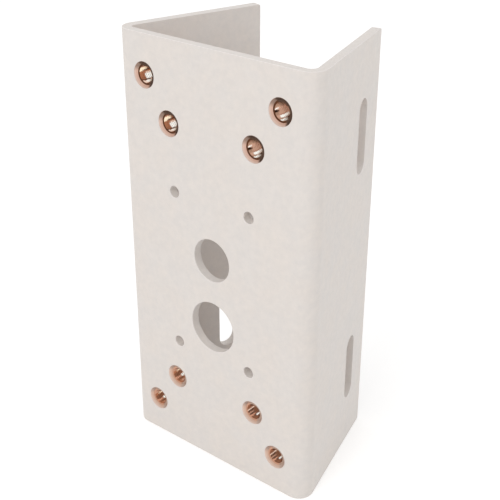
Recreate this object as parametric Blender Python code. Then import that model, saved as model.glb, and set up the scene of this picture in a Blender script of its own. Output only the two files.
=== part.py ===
"""Camera pole mount: a folded steel channel with eight self-clinching threaded inserts.

Metres, +Z up. The flat web faces -Y and the two flanges run back towards +Y, leaning in.
The origin is at the middle of the footprint, on the surface that the channel stands on.
"""

import math

import bmesh
import bpy
from mathutils import Matrix, Vector

# Channel: the plate and its two folds
HEIGHT = 0.2200
DEPTH = 0.0780                # from the web's front face to the flanges' rear corners
PLATE = 0.0047
INNER_BEND_RADIUS = 0.0030
FLANGE_LEAN = math.radians(16.0)      # how far past square each flange is folded
BEND_FACETS = 10
CORNER_RADIUS = 0.0012        # deburred corners of the flanges, seen from the side
CORNER_FACETS = 3
EDGE_ROUND = 0.0003           # every cut edge of the plate, rounded before painting
EDGE_ROUND_FACETS = 2

# Web: cable holes on the centre line
LOWER_CABLE_HOLE = 0.0271
LOWER_CABLE_HEIGHT = 0.0800   # above the bottom end
UPPER_CABLE_HOLE = 0.0221
CABLE_HOLE_RISE = 0.0369      # from the lower cable hole to the upper one

# Web: four small holes for a wall-box cover or bracket
SMALL_HOLE = 0.0059
SMALL_HOLE_SPREAD = 0.0461
SMALL_HOLE_LOW = 0.0630       # lower pair, above the bottom end
SMALL_HOLE_HIGH = 0.0736      # upper pair, below the top end

# Web: the two rectangles of threaded inserts, with the same margin to both ends
OUTER_SPREAD = 0.0805
OUTER_MARGIN = 0.0198
INNER_SPREAD = 0.0510
INNER_MARGIN = 0.0401

# Threaded insert: a round self-clinching nut, head behind the web and shank in its hole.
# A cone leads in from the web's front to a narrow flat land, and the bore starts there.
INSERT_HOLE = 0.0127
LAND_DIAMETER = 0.0100
LAND_DEPTH = 0.0015           # below the web's front face
HEAD_DIAMETER = 0.0175
HEAD_HEIGHT = 0.0069
HEAD_CHAMFER = 0.0006
BORE = 0.0082                 # drilled size, before the thread is cut
COUNTERSINK = 0.0088          # at the back end
RADIAL_GAP = 0.0002           # shank to the wall of its hole, and to the web's front face
SEAT_GAP = 0.0003             # head to the web's inner face
HEAD_TO_FLANGE = 0.0030       # an outer insert's head to the flange's inner face

# Flanges: strap slots
SLOT_WIDTH = 0.0113
SLOT_LENGTH = 0.0371
SLOT_REAR_MARGIN = 0.0209     # from a flange's rear edge to its slots' centre line
SLOT_END_MARGIN = 0.0277      # from each end of the channel to the nearer end of a slot

CABLE_HOLE_FACETS = 64
INSERT_FACETS = 36
SMALL_HOLE_FACETS = 24
SLOT_END_FACETS = 14
CUT_MARGIN = 0.0040           # how far a cutter runs past the plate

PAINT = (0.775, 0.723, 0.694, 1.0)
COPPER = (0.72, 0.40, 0.27, 1.0)

FRONT = -DEPTH / 2
WEB_BACK = FRONT + PLATE
INSERT_BACK = WEB_BACK + SEAT_GAP + HEAD_HEIGHT
OUTER_BEND_RADIUS = INNER_BEND_RADIUS + PLATE
FOLD_ANGLE = math.pi / 2 + FLANGE_LEAN


def clear_scene():
    for obj in list(bpy.data.objects):
        bpy.data.objects.remove(obj, do_unlink=True)


def make_material(name, color, roughness, metallic):
    material = bpy.data.materials.new(name)
    material.use_nodes = True
    shader = material.node_tree.nodes["Principled BSDF"]
    shader.inputs["Base Color"].default_value = color
    shader.inputs["Roughness"].default_value = roughness
    shader.inputs["Metallic"].default_value = metallic
    return material


def make_object(name, bm, material=None):
    """Turns a bmesh into an object, with the narrow facets of its curves shaded smooth."""
    bmesh.ops.recalc_face_normals(bm, faces=bm.faces)
    for face in bm.faces:
        shortest = min(edge.calc_length() for edge in face.edges)
        face.smooth = len(face.verts) == 4 and shortest < PLATE / 2
    mesh = bpy.data.meshes.new(name)
    bm.to_mesh(mesh)
    bm.free()
    if material:
        mesh.materials.append(material)
    obj = bpy.data.objects.new(name, mesh)
    bpy.context.collection.objects.link(obj)
    return obj


def flange_axes(side):
    """Directions along a flange towards the rear, and out of its outer face. side is -1 or +1."""
    along = Vector((-side * math.sin(FLANGE_LEAN), math.cos(FLANGE_LEAN), 0))
    outward = Vector((side * math.cos(FLANGE_LEAN), math.sin(FLANGE_LEAN), 0))
    return along, outward


def mould_half_width():
    """Half the web's width to the sharp corner of a fold: room for the outer inserts' heads."""
    beside_head = OUTER_SPREAD / 2 + HEAD_DIAMETER / 2 + HEAD_TO_FLANGE
    return beside_head + PLATE / math.cos(FLANGE_LEAN) + (INSERT_BACK - FRONT) * math.tan(FLANGE_LEAN)


def mould_corner(side):
    """The sharp corner, in plan, where the outer faces of the web and a flange would meet."""
    return Vector((side * mould_half_width(), FRONT, 0))


def flange_length():
    return DEPTH / math.cos(FLANGE_LEAN)


def bend_arc(side, radius):
    """Points of a fold in plan, from the web to the flange."""
    setback = OUTER_BEND_RADIUS * math.tan(FOLD_ANGLE / 2)
    centre = mould_corner(side) + Vector((-side * setback, OUTER_BEND_RADIUS, 0))
    points = []
    for step in range(BEND_FACETS + 1):
        angle = FOLD_ANGLE * step / BEND_FACETS
        points.append(centre + radius * Vector((side * math.sin(angle), -math.cos(angle), 0)))
    return points


def channel_section():
    """The channel's closed outline in plan: outer skin from left to right, then inner skin back."""
    outer = {}
    inner = {}
    for side in (-1, 1):
        along, outward = flange_axes(side)
        rear = mould_corner(side) + along * flange_length()
        outer[side] = bend_arc(side, OUTER_BEND_RADIUS) + [rear]
        inner[side] = bend_arc(side, INNER_BEND_RADIUS) + [rear - outward * PLATE]
    return outer[-1][::-1] + outer[1] + inner[1][::-1] + inner[-1]


def round_flange_corners(bm):
    """Rounds the four outer corners of the flanges, whose edges run through the plate."""
    rear_edges = []
    for edge in bm.edges:
        start, end = (vert.co for vert in edge.verts)
        if abs(edge.calc_length() - PLATE) < PLATE * 0.01 and abs(start.z - end.z) < PLATE * 0.01:
            if min(start.y, end.y) > FRONT + DEPTH / 2:
                rear_edges.append(edge)
    bmesh.ops.bevel(bm, geom=rear_edges, offset=CORNER_RADIUS, segments=CORNER_FACETS,
                    profile=0.5, affect="EDGES", clamp_overlap=True)


def folded_plate(material):
    bm = bmesh.new()
    bottom = bm.faces.new([bm.verts.new(point) for point in channel_section()])
    raised = bmesh.ops.extrude_face_region(bm, geom=[bottom])["geom"]
    raised_verts = [item for item in raised if isinstance(item, bmesh.types.BMVert)]
    bmesh.ops.translate(bm, verts=raised_verts, vec=(0, 0, HEIGHT))
    round_flange_corners(bm)
    return make_object("channel", bm, material)


def web_hole_cutter(name, diameter, facets, x, z):
    """A round bar along Y through the web."""
    bm = bmesh.new()
    place = Matrix.Translation((x, FRONT + PLATE / 2, z)) @ Matrix.Rotation(math.pi / 2, 4, "X")
    bmesh.ops.create_cone(bm, cap_ends=True, segments=facets, radius1=diameter / 2, radius2=diameter / 2,
                          depth=PLATE + 2 * CUT_MARGIN, matrix=place)
    return make_object(name, bm)


def slot_cutter(name, side, low):
    """A bar with rounded ends that runs through a flange, square to its face."""
    along, outward = flange_axes(side)
    radius = SLOT_WIDTH / 2
    outline = []
    for centre_z, start in ((low + SLOT_LENGTH - radius, 0.0), (low + radius, math.pi)):
        for step in range(SLOT_END_FACETS + 1):
            angle = start + math.pi * step / SLOT_END_FACETS
            outline.append((radius * math.cos(angle), centre_z + radius * math.sin(angle)))
    setback = flange_length() - SLOT_REAR_MARGIN
    middle = mould_corner(side) + along * setback + outward * CUT_MARGIN
    bm = bmesh.new()
    face = bm.faces.new([bm.verts.new(middle + along * u + Vector((0, 0, z))) for u, z in outline])
    pushed = bmesh.ops.extrude_face_region(bm, geom=[face])["geom"]
    pushed_verts = [item for item in pushed if isinstance(item, bmesh.types.BMVert)]
    bmesh.ops.translate(bm, verts=pushed_verts, vec=-outward * (PLATE + 2 * CUT_MARGIN))
    return make_object(name, bm)


def cut(target, cutter):
    cutter.hide_render = True
    cutter.display_type = "WIRE"
    modifier = target.modifiers.new(cutter.name, "BOOLEAN")
    modifier.operation = "DIFFERENCE"
    modifier.solver = "EXACT"
    modifier.object = cutter


def round_cut_edges(channel):
    """Rounds every edge that the outline and the holes leave, after the cuts."""
    modifier = channel.modifiers.new("edge_round", "BEVEL")
    modifier.width = EDGE_ROUND
    modifier.segments = EDGE_ROUND_FACETS
    modifier.limit_method = "ANGLE"
    modifier.angle_limit = math.radians(40)
    modifier.use_clamp_overlap = True
    modifier.harden_normals = True


def insert_places():
    """Name, x and z of each threaded insert."""
    places = []
    for ring, spread, margin in (("outer", OUTER_SPREAD, OUTER_MARGIN),
                                 ("inner", INNER_SPREAD, INNER_MARGIN)):
        for level, z in (("top", HEIGHT - margin), ("bottom", margin)):
            for hand, side in (("left", -1), ("right", 1)):
                places.append((f"insert_{level}_{hand}_{ring}", side * spread / 2, z))
    return places


def insert_section():
    """Half section of a threaded insert: radius, and distance behind the web's back face."""
    shank = INSERT_HOLE / 2 - RADIAL_GAP
    head = HEAD_DIAMETER / 2
    mouth = shank - RADIAL_GAP / 2
    front = -PLATE + RADIAL_GAP
    land = -PLATE + LAND_DEPTH
    back = INSERT_BACK - WEB_BACK
    sink = (COUNTERSINK - BORE) / 2
    return [
        (mouth, front),
        (shank, front),
        (shank, SEAT_GAP),
        (head - HEAD_CHAMFER, SEAT_GAP),
        (head, SEAT_GAP + HEAD_CHAMFER),
        (head, back - HEAD_CHAMFER),
        (head - HEAD_CHAMFER, back),
        (COUNTERSINK / 2, back),
        (BORE / 2, back - sink),
        (BORE / 2, land),
        (LAND_DIAMETER / 2, land),
    ]


def insert_mesh(material):
    """One insert turned about the Y axis, with the web's back face at y = 0."""
    rings = []
    bm = bmesh.new()
    for step in range(INSERT_FACETS):
        angle = 2 * math.pi * (step + 0.5) / INSERT_FACETS
        rings.append([bm.verts.new((radius * math.cos(angle), y, radius * math.sin(angle)))
                      for radius, y in insert_section()])
    for ring, following in zip(rings, rings[1:] + rings[:1]):
        for index in range(len(ring)):
            beside = (index + 1) % len(ring)
            bm.faces.new((ring[index], ring[beside], following[beside], following[index]))
    bmesh.ops.recalc_face_normals(bm, faces=bm.faces)
    mesh = bpy.data.meshes.new("insert")
    bm.to_mesh(mesh)
    bm.free()
    mesh.materials.append(material)
    mesh.shade_smooth()
    mesh.set_sharp_from_angle(angle=math.radians(30))
    return mesh


def build():
    clear_scene()
    paint = make_material("powder_coat", PAINT, 0.5, 0.0)
    copper = make_material("copper_plating", COPPER, 0.3, 1.0)
    channel = folded_plate(paint)

    upper_cable_height = LOWER_CABLE_HEIGHT + CABLE_HOLE_RISE
    for name, diameter, z in (("cut_lower_cable", LOWER_CABLE_HOLE, LOWER_CABLE_HEIGHT),
                              ("cut_upper_cable", UPPER_CABLE_HOLE, upper_cable_height)):
        cut(channel, web_hole_cutter(name, diameter, CABLE_HOLE_FACETS, 0, z))
    for side in (-1, 1):
        for level, z in (("low", SMALL_HOLE_LOW), ("high", HEIGHT - SMALL_HOLE_HIGH)):
            cut(channel, web_hole_cutter(f"cut_small_{level}_{side}", SMALL_HOLE, SMALL_HOLE_FACETS,
                                         side * SMALL_HOLE_SPREAD / 2, z))
        cut(channel, slot_cutter(f"cut_slot_low_{side}", side, SLOT_END_MARGIN))
        cut(channel, slot_cutter(f"cut_slot_high_{side}", side, HEIGHT - SLOT_END_MARGIN - SLOT_LENGTH))

    shared_mesh = insert_mesh(copper)
    for name, x, z in insert_places():
        cut(channel, web_hole_cutter(f"cut_{name}", INSERT_HOLE, INSERT_FACETS, x, z))
        insert = bpy.data.objects.new(name, shared_mesh)
        insert.location = (x, WEB_BACK, z)
        bpy.context.collection.objects.link(insert)
    round_cut_edges(channel)


build()
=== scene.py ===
"""Dresses the camera pole mount: a powder-coated folded channel with eight threaded inserts."""

import math

import bmesh
import bpy
from mathutils import Matrix, Vector
from mathutils.geometry import delaunay_2d_cdt


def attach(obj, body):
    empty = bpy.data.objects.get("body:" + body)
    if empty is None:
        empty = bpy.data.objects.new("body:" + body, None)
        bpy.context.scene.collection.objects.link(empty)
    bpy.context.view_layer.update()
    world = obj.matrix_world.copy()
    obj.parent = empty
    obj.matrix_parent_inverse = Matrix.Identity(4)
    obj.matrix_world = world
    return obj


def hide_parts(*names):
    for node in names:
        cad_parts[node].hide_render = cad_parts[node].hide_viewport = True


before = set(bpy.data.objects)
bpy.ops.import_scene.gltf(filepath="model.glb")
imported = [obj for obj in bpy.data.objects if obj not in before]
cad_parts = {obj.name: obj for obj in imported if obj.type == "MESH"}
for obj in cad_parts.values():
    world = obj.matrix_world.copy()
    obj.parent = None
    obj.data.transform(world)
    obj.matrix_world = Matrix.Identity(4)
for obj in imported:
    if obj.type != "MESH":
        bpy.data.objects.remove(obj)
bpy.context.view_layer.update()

MM = 0.001

# Channel, all in metres, as the solids have it
HEIGHT = 0.2200
DEPTH = 0.0780
PLATE = 0.0047
INNER_BEND_RADIUS = 0.0030
OUTER_BEND_RADIUS = INNER_BEND_RADIUS + PLATE
FLANGE_LEAN = math.radians(16.0)
FOLD_ANGLE = math.pi / 2 + FLANGE_LEAN
CORNER_RADIUS = 0.0012
EDGE_ROUND = 0.0003
FRONT = -DEPTH / 2
WEB_BACK = FRONT + PLATE

CABLE_HOLES = ((0.01355, 0.0800), (0.01105, 0.1169))    # radius, height
SMALL_HOLE_RADIUS = 0.00295
SMALL_HOLE_X = 0.02305
SMALL_HOLE_HEIGHTS = (0.0630, 0.1464)

SLOT_WIDTH = 0.0113
SLOT_LENGTH = 0.0371
SLOT_REAR_MARGIN = 0.0209
SLOT_END_MARGIN = 0.0277

# Threaded insert, with a thread of 3/8 inch and 24 turns to the inch
INSERT_HOLE_RADIUS = 0.00635
SHANK_RADIUS = 0.00633        # clinched into its hole
MOUTH_RADIUS = 0.00631
MOUTH_DEPTH = 0.0002          # below the web's front face
LAND_RADIUS = 0.0050
LAND_DEPTH = 0.0015
SEAT_GAP = 0.0003
HEAD_RADIUS = 0.00875
HEAD_HEIGHT = 0.0069
HEAD_CHAMFER = 0.0006
CREST_RADIUS = 0.0041
ROOT_RADIUS = 0.0047625
COUNTERSINK_RADIUS = 0.0044    # at the back end
PLAIN_BORE = 0.0007           # behind the land, before the thread starts
THREAD_PITCH = 0.0254 / 24
HEAD_TO_FLANGE = 0.0030       # an outer insert's head to the flange's inner face
OUTER_INSERTS = (0.04025, 0.0198)    # from the web's middle line, from each end
INNER_INSERTS = (0.02550, 0.0401)

# Facets of the fine meshes
BEND_FACETS = 28
ROUND_FACETS = 4
CABLE_HOLE_FACETS = 128
INSERT_FACETS = 96
SMALL_HOLE_FACETS = 56
SLOT_END_FACETS = 28
CORNER_FACETS = 8
TURN_STEPS = 72               # round an insert
SHARP_ANGLE = math.radians(32.0)
PLACE_DIGITS = 7              # to which two points' places have to agree
SAME_POINT = 1e-8


def insert_places():
    """Where each insert's axis meets the web, by the insert's name."""
    places = {}
    for ring, (x, margin) in (("outer", OUTER_INSERTS), ("inner", INNER_INSERTS)):
        for level, z in (("top", HEIGHT - margin), ("bottom", margin)):
            for side, sign in (("left", -1), ("right", 1)):
                places[f"{level}_{side}_{ring}"] = (sign * x, z)
    return places


def insert_back():
    """How far back the inserts' heads reach."""
    return WEB_BACK + SEAT_GAP + HEAD_HEIGHT


def mould_half_width():
    """Half the web's width to the sharp corner of a fold: room for the outer inserts' heads."""
    beside_head = OUTER_INSERTS[0] + HEAD_RADIUS + HEAD_TO_FLANGE
    return beside_head + PLATE / math.cos(FLANGE_LEAN) + (insert_back() - FRONT) * math.tan(FLANGE_LEAN)


INSERT_PLACES = insert_places()

# The folded plate is laid out flat, with s across it, z up and t through its thickness,
# and each point is then carried to its place on the folded channel.
BEND_SETBACK = OUTER_BEND_RADIUS * math.tan(FOLD_ANGLE / 2)
WEB_HALF = mould_half_width() - BEND_SETBACK
BEND_LENGTH = OUTER_BEND_RADIUS * FOLD_ANGLE
FLANGE_FLAT = DEPTH / math.cos(FLANGE_LEAN) - BEND_SETBACK
SHEET_HALF = WEB_HALF + BEND_LENGTH + FLANGE_FLAT
SLOT_S = SHEET_HALF - SLOT_REAR_MARGIN


def folded(s, z, t):
    """Where a point of the flat layout ends up, and the directions of s and t there."""
    side = -1.0 if s < 0 else 1.0
    reach = abs(s)
    turn = min(max((reach - WEB_HALF) / BEND_LENGTH, 0.0), 1.0) * FOLD_ANGLE
    radius = OUTER_BEND_RADIUS - t
    along = Vector((math.cos(turn), math.sin(turn), 0))
    inward = Vector((-math.sin(turn), math.cos(turn), 0))
    centre = Vector((min(reach, WEB_HALF), FRONT + OUTER_BEND_RADIUS, 0))
    point = centre - inward * radius + along * max(reach - WEB_HALF - BEND_LENGTH, 0.0)
    point.z = z
    for vector in (point, along, inward):
        vector.x *= side
    return point, along * side, inward


def circle_loop(s, z, radius, facets):
    """A round hole's points with their directions into the hole."""
    loop = []
    for step in range(facets):
        angle = 2 * math.pi * step / facets
        out = (math.cos(angle), math.sin(angle))
        loop.append(((s + radius * out[0], z + radius * out[1]), (-out[0], -out[1])))
    return loop


def slot_loop(s, low):
    """A slot with round ends, standing upright."""
    radius = SLOT_WIDTH / 2
    loop = []
    for centre_z, start in ((low + SLOT_LENGTH - radius, 0.0), (low + radius, math.pi)):
        for step in range(SLOT_END_FACETS + 1):
            angle = start + math.pi * step / SLOT_END_FACETS
            out = (math.cos(angle), math.sin(angle))
            loop.append(((s + radius * out[0], centre_z + radius * out[1]), (-out[0], -out[1])))
    return loop


def bend_stations():
    """The s values at which the outline needs a point to follow a fold."""
    return [WEB_HALF + BEND_LENGTH * step / BEND_FACETS for step in range(BEND_FACETS + 1)]


def sheet_outline():
    """The plate's outer edge, anticlockwise from the lower left, with directions out of the plate."""
    stations = [-s for s in reversed(bend_stations())] + bend_stations()
    loop = []

    def corner(sign_s, sign_z):
        centre_s = sign_s * (SHEET_HALF - CORNER_RADIUS)
        centre_z = HEIGHT - CORNER_RADIUS if sign_z > 0 else CORNER_RADIUS
        start = {(1, -1): -90, (1, 1): 0, (-1, 1): 90, (-1, -1): 180}[sign_s, sign_z]
        for step in range(CORNER_FACETS + 1):
            angle = math.radians(start + 90 * step / CORNER_FACETS)
            out = (math.cos(angle), math.sin(angle))
            loop.append(((centre_s + CORNER_RADIUS * out[0], centre_z + CORNER_RADIUS * out[1]), out))

    for s in stations:
        loop.append(((s, 0.0), (0.0, -1.0)))
    corner(1, -1)
    corner(1, 1)
    for s in reversed(stations):
        loop.append(((s, HEIGHT), (0.0, 1.0)))
    corner(-1, 1)
    corner(-1, -1)
    return loop


def sheet_holes():
    """The loops of all the round holes and slots."""
    holes = [circle_loop(0.0, z, radius, CABLE_HOLE_FACETS) for radius, z in CABLE_HOLES]
    for x, z in INSERT_PLACES.values():
        holes.append(circle_loop(x, z, INSERT_HOLE_RADIUS, INSERT_FACETS))
    for side in (-1, 1):
        for z in SMALL_HOLE_HEIGHTS:
            holes.append(circle_loop(side * SMALL_HOLE_X, z, SMALL_HOLE_RADIUS, SMALL_HOLE_FACETS))
        for low in (SLOT_END_MARGIN, HEIGHT - SLOT_END_MARGIN - SLOT_LENGTH):
            holes.append(slot_loop(side * SLOT_S, low))
    return holes


def inside(point, polygon):
    """Whether a flat point lies in a polygon, by counting crossings."""
    hit = False
    for (ax, ay), (bx, by) in zip(polygon, polygon[1:] + polygon[:1]):
        if (ay > point[1]) != (by > point[1]):
            if point[0] < ax + (bx - ax) * (point[1] - ay) / (by - ay):
                hit = not hit
    return hit


class SheetMesh:
    """Collects the folded plate's points, normals and faces."""

    def __init__(self):
        self.points = []
        self.normals = []
        self.edges = []
        self.faces = []

    def add(self, flat, t, out, lift):
        """One point of a rim. lift turns its normal from out of the skin to out of the edge."""
        point, along, inward = folded(flat[0], flat[1], t)
        skin = -1.0 if t < PLATE / 2 else 1.0
        normal = inward * (skin * math.cos(lift)) + along * (out[0] * math.sin(lift))
        normal.z += out[1] * math.sin(lift)
        self.points.append(point)
        self.normals.append(normal.normalized())
        # how far round the rounded edge a point is: the mask of the edges' painted highlight
        self.edges.append(math.sin(2 * lift) if lift < math.pi / 2 else 0.0)
        return len(self.points) - 1

    def rim(self, loop):
        """Rings of points round an edge, from the outer skin over both roundings to the inner skin."""
        rings = []
        for skin in (0, 1):
            steps = range(ROUND_FACETS + 1)
            for step in (steps if skin == 0 else reversed(steps)):
                lift = math.pi / 2 * step / ROUND_FACETS
                inset = EDGE_ROUND * (1 - math.sin(lift))
                depth = EDGE_ROUND * (1 - math.cos(lift))
                t = depth if skin == 0 else PLATE - depth
                ring = []
                for flat, out in loop:
                    place = (flat[0] - out[0] * inset, flat[1] - out[1] * inset)
                    ring.append(self.add(place, t, out, lift))
                rings.append(ring)
        for ring, deeper in zip(rings, rings[1:]):
            for index in range(len(ring)):
                beside = (index + 1) % len(ring)
                self.faces.append((ring[index], deeper[index], deeper[beside], ring[beside]))
        return rings[0], rings[-1]

    def skin(self, loops, rings, turn_over):
        """Fills the plate's flat layout between its rim rings with triangles."""
        flats = []
        ids = []
        edges = []
        polygons = []
        for loop, ring in zip(loops, rings):
            first = len(flats)
            polygon = [(p[0] - o[0] * EDGE_ROUND, p[1] - o[1] * EDGE_ROUND) for p, o in loop]
            flats += polygon
            ids += ring
            edges += [(first + i, first + (i + 1) % len(loop)) for i in range(len(loop))]
            polygons.append(polygon)
        by_place = {(round(s, PLACE_DIGITS), round(z, PLACE_DIGITS)): i for i, (s, z) in enumerate(flats)}
        for s in bend_stations():
            for signed in (-s, s):
                low = by_place[round(signed, PLACE_DIGITS), round(EDGE_ROUND, PLACE_DIGITS)]
                high = by_place[round(signed, PLACE_DIGITS), round(HEIGHT - EDGE_ROUND, PLACE_DIGITS)]
                edges.append((low, high))
        _, _, triangles, origins, _, _ = delaunay_2d_cdt([Vector(p) for p in flats], edges, [], 0, 1e-9)
        for triangle in triangles:
            corners = [origins[i][0] for i in triangle]
            middle = [sum(flats[i][axis] for i in corners) / 3 for axis in (0, 1)]
            if not inside(middle, polygons[0]) or any(inside(middle, hole) for hole in polygons[1:]):
                continue
            face = tuple(ids[i] for i in corners)
            self.faces.append(face[::-1] if turn_over else face)


def folded_channel(material):
    """The whole folded plate, with its edges rounded and marked for their painted highlight."""
    sheet = SheetMesh()
    loops = [sheet_outline()] + [loop[::-1] for loop in sheet_holes()]
    rims = [sheet.rim(loop) for loop in loops]
    sheet.skin(loops, [outer for outer, _ in rims], False)
    sheet.skin(loops, [inner for _, inner in rims], True)
    mesh = bpy.data.meshes.new("folded_channel")
    mesh.from_pydata(sheet.points, [], sheet.faces)
    mesh.materials.append(material)
    mesh.shade_smooth()
    mesh.normals_split_custom_set_from_vertices(sheet.normals)
    mesh.attributes.new("edge", "FLOAT", "POINT").data.foreach_set("value", sheet.edges)
    channel = bpy.data.objects.new("folded_channel", mesh)
    bpy.context.collection.objects.link(channel)
    return channel


# Threaded inserts

def thread_cut(phase):
    """How deep the thread is cut, from 0 to 1, along one turn: a flat crest, two flanks, a flat root."""
    crest_end, root_start, root_end = 4 / 16, 9 / 16, 11 / 16
    if phase <= crest_end:
        return 0.0
    if phase < root_start:
        return (phase - crest_end) / (root_start - crest_end)
    if phase <= root_end:
        return 1.0
    return 1.0 - (phase - root_end) / (1 - root_end)


THREAD_ROWS = (0, 2, 4, 5.25, 6.5, 7.75, 9, 10, 11, 12.25, 13.5, 14.75)    # sixteenths of a pitch


def insert_mesh(material):
    """A turned nut about the Y axis with a cut thread, the web's back face at y = 0."""
    front = -PLATE + LAND_DEPTH
    back = SEAT_GAP + HEAD_HEIGHT
    turns = math.ceil((back - front) / THREAD_PITCH) + 2
    bm = bmesh.new()
    rows = []
    for row in range(turns * len(THREAD_ROWS) + 1):
        turn, part = divmod(row, len(THREAD_ROWS))
        phase = THREAD_ROWS[part] / 16
        ring = []
        for step in range(TURN_STEPS):
            angle = 2 * math.pi * step / TURN_STEPS
            y = front - THREAD_PITCH + (turn + phase + step / TURN_STEPS) * THREAD_PITCH
            y = min(max(y, front), back)
            started = min(max((y - front - PLAIN_BORE) / THREAD_PITCH, 0.0), 1.0)
            radius = CREST_RADIUS + (ROOT_RADIUS - CREST_RADIUS) * thread_cut(phase) * started
            radius = max(radius, COUNTERSINK_RADIUS - (back - y))
            if y == back:
                radius = COUNTERSINK_RADIUS
            ring.append(bm.verts.new((radius * math.cos(angle), y, radius * math.sin(angle))))
        rows.append(ring)
    for row, (ring, following) in enumerate(zip(rows, rows[1:])):
        for step in range(TURN_STEPS - 1):
            bm.faces.new((ring[step], ring[step + 1], following[step + 1], following[step]))
        # A row is a helix, so its last point joins the first point of the row one turn on
        wrapped = row + len(THREAD_ROWS)
        if wrapped + 1 < len(rows):
            bm.faces.new((ring[-1], rows[wrapped][0], rows[wrapped + 1][0], following[-1]))
    outside = [
        (CREST_RADIUS, front),
        (LAND_RADIUS, front),
        (MOUTH_RADIUS, MOUTH_DEPTH - PLATE),
        (SHANK_RADIUS, MOUTH_DEPTH - PLATE),
        (SHANK_RADIUS, SEAT_GAP),
        (HEAD_RADIUS - HEAD_CHAMFER, SEAT_GAP),
        (HEAD_RADIUS, SEAT_GAP + HEAD_CHAMFER),
        (HEAD_RADIUS, back - HEAD_CHAMFER),
        (HEAD_RADIUS - HEAD_CHAMFER, back),
        (COUNTERSINK_RADIUS, back),
    ]
    turned = []
    for radius, y in outside:
        ring = []
        for step in range(TURN_STEPS):
            angle = 2 * math.pi * step / TURN_STEPS
            ring.append(bm.verts.new((radius * math.cos(angle), y, radius * math.sin(angle))))
        turned.append(ring)
    for ring, following in zip(turned, turned[1:]):
        for step in range(TURN_STEPS):
            beside = (step + 1) % TURN_STEPS
            bm.faces.new((ring[step], ring[beside], following[beside], following[step]))
    bmesh.ops.remove_doubles(bm, verts=bm.verts, dist=SAME_POINT)
    bmesh.ops.recalc_face_normals(bm, faces=bm.faces)
    mesh = bpy.data.meshes.new("threaded_insert")
    bm.to_mesh(mesh)
    bm.free()
    mesh.materials.append(material)
    mesh.shade_smooth()
    mesh.set_sharp_from_angle(angle=SHARP_ANGLE)
    return mesh


# Materials

PAINT = (0.740, 0.690, 0.655, 1.0)
EDGE_PAINTED_HIGHLIGHT = (0.80, 0.755, 0.73, 1.0)    # painted highlight on the rounded edges


class Tree:
    """A short way to add nodes to a material's tree or to a group's tree."""

    def __init__(self, tree):
        self.tree = tree

    def node(self, kind, **settings):
        node = self.tree.nodes.new("ShaderNode" + kind)
        for name, value in settings.items():
            setattr(node, name, value)
        return node

    def feed(self, socket, value):
        if isinstance(value, bpy.types.NodeSocket):
            self.tree.links.new(value, socket)
        elif value is not None:
            socket.default_value = value

    def math(self, operation, *values, clamp=False):
        node = self.node("Math", operation=operation, use_clamp=clamp)
        for socket, value in zip(node.inputs, values):
            self.feed(socket, value)
        return node.outputs[0]

    def span(self, value, low, high, start=0.0, end=1.0, smooth=False):
        """Maps low to high onto start to end, and holds the ends."""
        node = self.node("MapRange", interpolation_type="SMOOTHSTEP" if smooth else "LINEAR")
        for name, number in (("Value", value), ("From Min", low), ("From Max", high),
                             ("To Min", start), ("To Max", end)):
            self.feed(node.inputs[name], number)
        return node.outputs["Result"]

    def mix(self, mask, one, other, blend="MIX"):
        node = self.node("Mix", data_type="RGBA", blend_type=blend)
        for socket, value in ((node.inputs[0], mask), (node.inputs[6], one), (node.inputs[7], other)):
            self.feed(socket, value)
        return node.outputs[2]

    def noise(self, vector, scale, detail=2.0, roughness=0.5):
        node = self.node("TexNoise")
        self.feed(node.inputs["Vector"], vector)
        for name, value in (("Scale", scale), ("Detail", detail), ("Roughness", roughness)):
            self.feed(node.inputs[name], value)
        return node.outputs[0]

    def bump(self, height, strength, distance, normal=None):
        node = self.node("Bump")
        for name, value in (("Height", height), ("Strength", strength), ("Distance", distance),
                            ("Normal", normal)):
            self.feed(node.inputs[name], value)
        return node.outputs["Normal"]

    def place(self, group, **values):
        """Puts a node group in, with its own values, and returns its outputs by name."""
        node = self.node("Group", node_tree=group)
        for name, value in values.items():
            self.feed(node.inputs[name.replace("_", " ")], value)
        return node.outputs


def new_material(name):
    """A material, its tree and its main shader."""
    material = bpy.data.materials.new(name)
    material.use_nodes = True
    return material, Tree(material.node_tree), material.node_tree.nodes["Principled BSDF"]


def new_group(name, inputs, outputs):
    """An empty group: its sockets are (name, kind, default) and (name, kind)."""
    group = bpy.data.node_groups.new(name, "ShaderNodeTree")
    for socket, kind, default in inputs:
        made = group.interface.new_socket(socket, in_out="INPUT", socket_type="NodeSocket" + kind)
        if default is not None:
            made.default_value = default
    for socket, kind in outputs:
        group.interface.new_socket(socket, in_out="OUTPUT", socket_type="NodeSocket" + kind)
    given = group.nodes.new("NodeGroupInput").outputs
    out = group.nodes.new("NodeGroupOutput").inputs
    return group, Tree(group), given, out


def uneven_colour_group():
    """Lets a colour drift in wide soft patches, between a cool and a warm shade of itself."""
    group, tree, given, out = new_group(
        "uneven_colour",
        (("Color", "Color", (0.8, 0.8, 0.8, 1.0)), ("Scale", "Float", 20.0), ("Amount", "Float", 0.05),
         ("Cool", "Color", (0.97, 0.99, 1.0, 1.0)), ("Warm", "Color", (1.0, 0.98, 0.95, 1.0))),
        (("Color", "Color"), ("Mask", "Float")))
    place = tree.node("TexCoord").outputs["Object"]
    patches = tree.span(tree.noise(place, given["Scale"], 3.0, 0.55), 0.32, 0.68, smooth=True)
    shade = tree.mix(patches, given["Cool"], given["Warm"])
    tree.feed(out["Color"], tree.mix(given["Amount"], given["Color"],
                                     tree.mix(1.0, given["Color"], shade, "MULTIPLY")))
    tree.feed(out["Mask"], patches)
    return group


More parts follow.
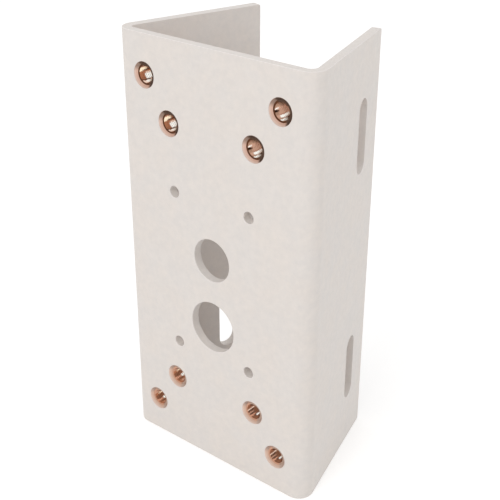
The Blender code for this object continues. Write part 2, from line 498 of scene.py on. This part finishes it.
def surface_grain_group():
    """Fine grain for bump and roughness: soft swells with a finer tooth on them."""
    group, tree, given, out = new_group(
        "surface_grain",
        (("Swell Scale", "Float", 500.0), ("Tooth Scale", "Float", 2500.0), ("Tooth", "Float", 0.3)),
        (("Height", "Float"),))
    place = tree.node("TexCoord").outputs["Object"]
    swell = tree.noise(place, given["Swell Scale"], 1.0, 0.4)
    tooth = tree.noise(place, given["Tooth Scale"], 2.0, 0.5)
    tree.feed(out["Height"], tree.math("MULTIPLY_ADD", tooth, given["Tooth"], swell))
    return group


def powder_coat(uneven_colour, surface_grain):
    """Off-white powder coat: soft drift, fine speckle, a slight tooth and painted highlights on its
    edges.
    """
    material, tree, shader = new_material("powder_coat")
    drift = tree.place(uneven_colour, Color=PAINT, Scale=60.0, Amount=0.7,
                       Cool=(0.975, 0.985, 0.99, 1.0), Warm=(1.0, 0.99, 0.975, 1.0))
    speckle = tree.noise(tree.node("TexCoord").outputs["Object"], 300.0, 3.0, 0.65)
    fine = tree.mix(tree.span(speckle, 0.3, 0.7), (0.958, 0.962, 0.965, 1.0), (1.026, 1.021, 1.014, 1.0))
    edge = tree.node("Attribute", attribute_name="edge").outputs["Fac"]
    body = tree.mix(1.0, drift["Color"], fine, "MULTIPLY")
    tree.feed(shader.inputs["Base Color"], tree.mix(edge, body, EDGE_PAINTED_HIGHLIGHT))
    grain = tree.place(surface_grain, Swell_Scale=620.0, Tooth_Scale=2600.0, Tooth=0.25)
    tree.feed(shader.inputs["Roughness"], tree.span(grain["Height"], 0.35, 0.9, 0.40, 0.55))
    tree.feed(shader.inputs["Normal"], tree.bump(grain["Height"], 0.4, 0.0001))
    return material


# Soft edges of the painted reflection streaks along the bores
STREAK_SIDE_FADE = 3.5          # degrees either way
STREAK_START_FADE = 0.0006
STREAK_END_FADE = 0.0007


def painted_streak_group():
    """A soft-edged streak of painted reflection along a bore, given by its angle round the axis and its
    depth.
    """
    group, tree, given, out = new_group(
        "painted_streak",
        (("Turn", "Float", 0.0), ("Depth", "Float", 0.0), ("Angle", "Float", 0.0),
         ("Half Width", "Float", 10.0), ("Start", "Float", 0.0), ("End", "Float", 0.01)),
        (("Mask", "Float"),))
    lag = tree.math("SUBTRACT", given["Turn"], tree.math("DIVIDE", given["Angle"], 360.0))
    lag = tree.math("SUBTRACT", tree.math("FRACT", tree.math("ADD", lag, 0.5)), 0.5)
    lag = tree.math("MULTIPLY", tree.math("ABSOLUTE", lag), 360.0)
    across = tree.span(tree.math("SUBTRACT", lag, given["Half Width"]),
                       STREAK_SIDE_FADE, -STREAK_SIDE_FADE, smooth=True)
    begun = tree.span(tree.math("SUBTRACT", given["Depth"], given["Start"]),
                      -STREAK_START_FADE, STREAK_START_FADE, smooth=True)
    ended = tree.span(tree.math("SUBTRACT", given["Depth"], given["End"]),
                      STREAK_END_FADE, -STREAK_END_FADE, smooth=True)
    tree.feed(out["Mask"], tree.math("MULTIPLY", across, tree.math("MULTIPLY", begun, ended)))
    return group


# Colours of the painted reflections in the copper bores, from highlights to the darkest
PALE = (1.0, 0.98, 0.92, 1.0)
CREAM = (0.94, 0.78, 0.58, 1.0)
ROSE = (0.84, 0.62, 0.50, 1.0)
TAN = (0.57, 0.335, 0.24, 1.0)
COPPER = (0.70, 0.36, 0.24, 1.0)
BROWN = (0.39, 0.155, 0.08, 1.0)
DUN = (0.40, 0.24, 0.165, 1.0)
RUSSET = (0.25, 0.105, 0.058, 1.0)
UMBER = (0.09, 0.036, 0.02, 1.0)
BLACK = (0.010, 0.004, 0.002, 1.0)

# Painted reflections in the copper, by pairs: bore colour, then streaks along the bore as degrees round
# it (0 at +X, 90 at the top), half width in degrees, start and end below the web's face in mm, colour
COPPER_PAINTED_REFLECTIONS = {
    "top_left": (BROWN, (
        (-236, 12, 0, 5, TAN), (-201, 16, 0, 6.4, CREAM), (-187, 4, 4.0, 12, UMBER),
        (-165, 8, 5.4, 12, ROSE), (-145, 18, 4.9, 12, PALE), (-140, 3, 1.6, 4.8, RUSSET),
        (-104, 18, 0, 12, ROSE), (-108, 10, 3.4, 12, PALE), (-126, 5, 0, 7.0, UMBER))),
    "top_right": (TAN, (
        (-216, 26, 0, 8, DUN), (-179, 4, 1.6, 4.2, PALE), (-163, 5, 1.0, 4.6, UMBER),
        (-163, 10, 0, 3.4, BLACK), (-149, 9, 1.4, 4.0, DUN), (-137, 3, 4.0, 9.0, BROWN),
        (-125, 10, 3.6, 10.4, PALE), (-66, 14, 0, 12, DUN), (-93, 15, 0, 7.2, PALE),
        (-112, 6, 0, 4.6, DUN), (-106, 4, 6.6, 8.2, UMBER))),
    "bottom_left": (BROWN, (
        (-216, 22, 0, 6, TAN), (-186, 7, 0, 5, TAN), (-169, 6, 4.2, 12, CREAM),
        (-150, 7, 0, 12, RUSSET), (-137, 6, 1.4, 6.0, RUSSET), (-121, 6, 1.6, 5.4, COPPER),
        (-123, 10, 5.7, 12, PALE), (-80, 12, 3.5, 8, TAN), (-105, 6, 2.4, 6.4, RUSSET))),
    "bottom_right": (RUSSET, (
        (-208, 18, 0, 5, BROWN), (-161, 4, 1.2, 7.0, ROSE), (-151, 4, 1.8, 5.8, UMBER),
        (-138, 4, 0, 5.4, TAN), (-129, 3, 0, 5.4, UMBER), (-118, 5, 0, 5.2, COPPER),
        (-108, 3, 4.0, 5.6, UMBER), (-103, 6, 5.0, 12, PALE))),
}
# Painted reflections and painted shade in the insert mouths, for the top and the bottom inserts
MOUTH_PAINTED_LIGHT = {    # rim, inner edge, upper left, shaded side, land, its shaded side
    "top": ((0.73, 0.57, 0.495, 1.0), (0.69, 0.46, 0.365, 1.0), (0.32, 0.23, 0.187, 1.0),
            (0.115, 0.075, 0.054, 1.0), (0.120, 0.048, 0.023, 1.0), (0.100, 0.060, 0.043, 1.0)),
    "bottom": ((0.725, 0.575, 0.500, 1.0), (0.63, 0.44, 0.345, 1.0), (0.45, 0.35, 0.30, 1.0),
               (0.53, 0.42, 0.36, 1.0), (0.60, 0.35, 0.245, 1.0), (0.42, 0.30, 0.24, 1.0)),
}

HEAD_PLATING = (0.62, 0.40, 0.29, 1.0)    # on the head and the shank
PAINTED_LIT_SIDE = (25.0, 80.0)      # painted lit side of the bore: degrees round it, half width
STREAK_FRAY = 0.035             # of the painted reflection streaks, in turns
BORE_FLARE = 1.0              # how much the polished bore shines as if it opened forward
THREAD_POLISH = 0.9
SHADED_SIDE = (0.87, 0.49)    # of the mouth, along X and Z
MOUTH_FADE = 0.0004           # outside the land, where the mouth's inner colour is full
SKIN = 0.00003                # by which surfaces are told apart
RIM_WIDTH = 0.00005           # of the plain rim round the mouth
TURNING_PITCH = 0.00011       # of the fine rings that turning leaves


def copper_plating(place_name, groups):
    """Copper-coloured plating on a turned insert whose axis is the object's Y axis."""
    uneven_colour, surface_grain, painted_streak = groups
    material, tree, shader = new_material("copper_plating_" + place_name)
    # Each pair of inserts has its own copy, with the painted reflections and shade that pair shows
    rim_color, inner_color, upper_color, shade_color, land_color, land_shade = \
        MOUTH_PAINTED_LIGHT[place_name.split("_")[0]]
    bore_color, painted_streaks = COPPER_PAINTED_REFLECTIONS[place_name]
    place = tree.node("TexCoord").outputs["Object"]
    axes = tree.node("SeparateXYZ")
    tree.feed(axes.inputs[0], place)
    x, y, z = axes.outputs
    radius = tree.math("SQRT", tree.math("ADD", tree.math("MULTIPLY", x, x), tree.math("MULTIPLY", z, z)))
    turn = tree.math("DIVIDE", tree.math("ARCTAN2", z, x), 2 * math.pi)
    depth = tree.math("ADD", y, PLATE)

    # Bore: painted reflection streaks, light and dark, lightly frayed, and a painted lit side away from
    # them
    fray = tree.math("SUBTRACT", tree.noise(place, 700.0, 2.0, 0.6), 0.5)
    frayed = tree.math("MULTIPLY_ADD", fray, STREAK_FRAY, turn)
    bore = tree.mix(tree.place(painted_streak, Turn=frayed, Depth=depth, Angle=PAINTED_LIT_SIDE[0],
                               Half_Width=PAINTED_LIT_SIDE[1], Start=0.0, End=0.02)["Mask"], bore_color, ROSE)
    for angle, half_width, start, end, color in painted_streaks:
        streak = tree.place(painted_streak, Turn=frayed, Depth=depth, Angle=float(angle),
                          Half_Width=float(half_width), Start=start * MM, End=end * MM)
        bore = tree.mix(streak["Mask"], bore, color)

    # Mouth: a painted reflection, like the paint at its rim and deeper in colour inwards,
    # with painted shade on its upper part and where it faces down or left
    inwards = tree.span(radius, MOUTH_RADIUS, LAND_RADIUS + MOUTH_FADE, smooth=True)
    mouth = tree.mix(inwards, rim_color, inner_color)
    upper = tree.span(tree.math("DIVIDE", z, radius), 0.05, 0.65, smooth=True)
    mouth = tree.mix(upper, mouth, upper_color)
    away = tree.math("MULTIPLY_ADD", x, SHADED_SIDE[0], tree.math("MULTIPLY", z, SHADED_SIDE[1]))
    shaded = tree.span(tree.math("DIVIDE", away, radius), -0.20, 0.14, smooth=True)
    mouth = tree.mix(shaded, mouth, shade_color)

    in_bore = tree.math("LESS_THAN", radius, ROOT_RADIUS + SKIN)
    on_land = tree.math("MULTIPLY", tree.math("LESS_THAN", radius, LAND_RADIUS + SKIN),
                        tree.math("LESS_THAN", depth, LAND_DEPTH + SKIN))
    outside = tree.math("GREATER_THAN", radius, SHANK_RADIUS - RIM_WIDTH)
    color = tree.mix(in_bore, mouth, bore)
    # The land: a painted reflection, with painted shade on its shaded side
    color = tree.mix(on_land, color, tree.mix(shaded, land_color, land_shade))
    color = tree.mix(outside, color, HEAD_PLATING)
    drift = tree.place(uneven_colour, Color=color, Scale=420.0, Amount=0.35,
                       Cool=(0.90, 0.86, 0.84, 1.0), Warm=(1.0, 1.0, 1.0, 1.0))
    tree.feed(shader.inputs["Base Color"], drift["Color"])
    shader.inputs["Metallic"].default_value = 1.0
    grain = tree.place(surface_grain, Swell_Scale=900.0, Tooth_Scale=4200.0, Tooth=0.5)
    rough = tree.span(grain["Height"], 0.4, 1.1, 0.12, 0.22)
    tube = tree.math("MULTIPLY", in_bore, tree.math("SUBTRACT", 1.0, on_land))
    dull = tree.math("SUBTRACT", 1.0, tube)
    tree.feed(shader.inputs["Roughness"], tree.math("MULTIPLY_ADD", dull, 0.28, rough))

    # Bore again: polished over the thread, so that it shines mostly like a tube that opens forward
    open_tube = tree.node("CombineXYZ")
    for socket, value in zip(open_tube.inputs, (tree.math("MULTIPLY", x, -1.0),
                                                tree.math("MULTIPLY", radius, -BORE_FLARE),
                                                tree.math("MULTIPLY", z, -1.0))):
        tree.feed(socket, value)
    turned = tree.node("VectorTransform", vector_type="NORMAL", convert_from="OBJECT", convert_to="WORLD")
    tree.feed(turned.inputs[0], open_tube.outputs[0])
    unit = tree.node("VectorMath", operation="NORMALIZE")
    tree.feed(unit.inputs[0], turned.outputs[0])
    blend = tree.node("Mix", data_type="VECTOR")
    tree.feed(blend.inputs[0], tree.math("MULTIPLY", tube, THREAD_POLISH))
    tree.feed(blend.inputs[4], tree.node("NewGeometry").outputs["Normal"])
    tree.feed(blend.inputs[5], unit.outputs[0])
    rings = tree.math("SINE", tree.math("MULTIPLY", radius, 2 * math.pi / TURNING_PITCH))
    relief = tree.math("MULTIPLY_ADD", rings, 0.35, grain["Height"])
    tree.feed(shader.inputs["Normal"], tree.bump(relief, 0.25, 0.00002, blend.outputs[1]))
    return material


# The studio

CAMERA_AZIMUTH = math.radians(39.8055)
CAMERA_ELEVATION = math.radians(28.2457)
CAMERA_ROLL = math.radians(0.1549)
CAMERA_DISTANCE = 0.48227
CAMERA_TARGET = Vector((0.024099, FRONT, 0.115273))
CAMERA_LENS = 74.54
SENSOR_WIDTH = 36.0
CAMERA_SHIFT_Y = 0.05894


def place_camera():
    """Stands the camera where the photo was taken from."""
    data = bpy.data.cameras.new("camera")
    data.lens = CAMERA_LENS
    data.sensor_width = SENSOR_WIDTH
    data.shift_y = CAMERA_SHIFT_Y
    camera = bpy.data.objects.new("camera", data)
    bpy.context.collection.objects.link(camera)
    flat = math.cos(CAMERA_ELEVATION)
    back = Vector((math.sin(CAMERA_AZIMUTH) * flat, -math.cos(CAMERA_AZIMUTH) * flat,
                   math.sin(CAMERA_ELEVATION)))
    camera.location = CAMERA_TARGET + back * CAMERA_DISTANCE
    turn = (-back).to_track_quat("-Z", "Y").to_matrix() @ Matrix.Rotation(CAMERA_ROLL, 3, "Z")
    camera.rotation_euler = turn.to_euler()
    bpy.context.scene.camera = camera


def seen_directly(tree):
    """A value of 1 for camera, glossy and transmission rays."""
    path = tree.node("LightPath").outputs
    directly = tree.math("MAXIMUM", path["Is Camera Ray"], path["Is Glossy Ray"])
    return tree.math("MAXIMUM", directly, path["Is Transmission Ray"])


SKY_STRENGTH = 0.835
SUNS = (    # name, power, angle across, where it stands
    ("front_light", 0.30, 45.0, (0.0, -1.0, 0.6)),
)
BOX_LIGHTS = (    # name, power, size across, place
    ("right_box", 0.10, 0.30, (0.45, 0.10, 0.40)),
    ("front_box", 0.61, 0.30, (0.10, -0.60, 0.55)),
)


def hang_lamp(name, data, power, place, towards):
    """Hangs a lamp whose light comes from a direction. No glossy surface mirrors it."""
    data.energy = power
    lamp = bpy.data.objects.new(name, data)
    lamp.location = place
    lamp.rotation_euler = towards.to_track_quat("Z", "Y").to_euler()
    lamp.visible_glossy = False
    bpy.context.collection.objects.link(lamp)


def light_studio():
    """Even light from the sky, with a weak sun and two round boxes."""
    world = bpy.data.worlds.new("studio")
    world.use_nodes = True
    tree = Tree(world.node_tree)
    background = world.node_tree.nodes["Background"]
    background.inputs["Color"].default_value = (1.0, 1.0, 1.0, 1.0)
    tree.feed(background.inputs["Strength"], tree.span(seen_directly(tree), 0.0, 1.0, SKY_STRENGTH, 1.0))
    bpy.context.scene.world = world
    for name, power, angle, towards in SUNS:
        data = bpy.data.lights.new(name, "SUN")
        data.angle = math.radians(angle)
        hang_lamp(name, data, power, Vector((0.0, 0.0, 0.0)), Vector(towards))
    for name, power, across, place in BOX_LIGHTS:
        data = bpy.data.lights.new(name, "AREA")
        data.shape = "DISK"
        data.size = across
        hang_lamp(name, data, power, Vector(place), Vector(place) - Vector((0.0, 0.0, HEIGHT / 2)))


FLOOR_RADIUS = 6.0
FLOOR_FACETS = 96
FLOOR_COLOR = (0.90, 0.897, 0.893, 1.0)
FLOOR_GLOW = 0.27


def lay_floor(uneven_colour, surface_grain):
    """A wide pale paper that goes white where it is seen directly, and keeps the shadow."""
    material, tree, shader = new_material("floor_paper")
    drift = tree.place(uneven_colour, Color=FLOOR_COLOR, Scale=1.5, Amount=0.10)
    tree.feed(shader.inputs["Base Color"], drift["Color"])
    shader.inputs["Roughness"].default_value = 0.9
    shader.inputs["Specular IOR Level"].default_value = 0.0
    shader.inputs["Emission Color"].default_value = (1.0, 1.0, 1.0, 1.0)
    tree.feed(shader.inputs["Emission Strength"], tree.math("MULTIPLY", seen_directly(tree), FLOOR_GLOW))
    grain = tree.place(surface_grain, Swell_Scale=150.0, Tooth_Scale=900.0, Tooth=0.4)
    tree.feed(shader.inputs["Normal"], tree.bump(grain["Height"], 0.1, 0.0001))
    bm = bmesh.new()
    bmesh.ops.create_circle(bm, cap_ends=True, segments=FLOOR_FACETS, radius=FLOOR_RADIUS)
    mesh = bpy.data.meshes.new("floor")
    bm.to_mesh(mesh)
    bm.free()
    mesh.materials.append(material)
    floor = bpy.data.objects.new("floor", mesh)
    bpy.context.collection.objects.link(floor)


INSERT_CLOCKING = {"top_left_inner": -9.0, "top_right_inner": -3.0, "bottom_left_inner": 8.0,
                   "bottom_right_outer": -2.0}    # degrees about +Y


def dress(groups):
    """Puts the finer channel and inserts in place of the plain solids."""
    uneven_colour, surface_grain, _ = groups
    channel = folded_channel(powder_coat(uneven_colour, surface_grain))
    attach(channel, "root")
    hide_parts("channel")
    # One copper material per pair of inserts, each with its own painted reflections and shade
    meshes = {place_name: insert_mesh(copper_plating(place_name, groups)) for place_name in COPPER_PAINTED_REFLECTIONS}
    for name, (x, z) in INSERT_PLACES.items():
        insert = bpy.data.objects.new("threaded_insert_" + name, meshes[name.rsplit("_", 1)[0]])
        insert.location = (x, WEB_BACK, z)
        insert.rotation_euler.y = math.radians(INSERT_CLOCKING.get(name, 0.0))
        bpy.context.collection.objects.link(insert)
        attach(insert, "root")
        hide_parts("insert_" + name)


bpy.context.scene.view_settings.view_transform = "Standard"
effect_groups = (uneven_colour_group(), surface_grain_group(), painted_streak_group())
dress(effect_groups)
place_camera()
light_studio()
lay_floor(*effect_groups[:2])
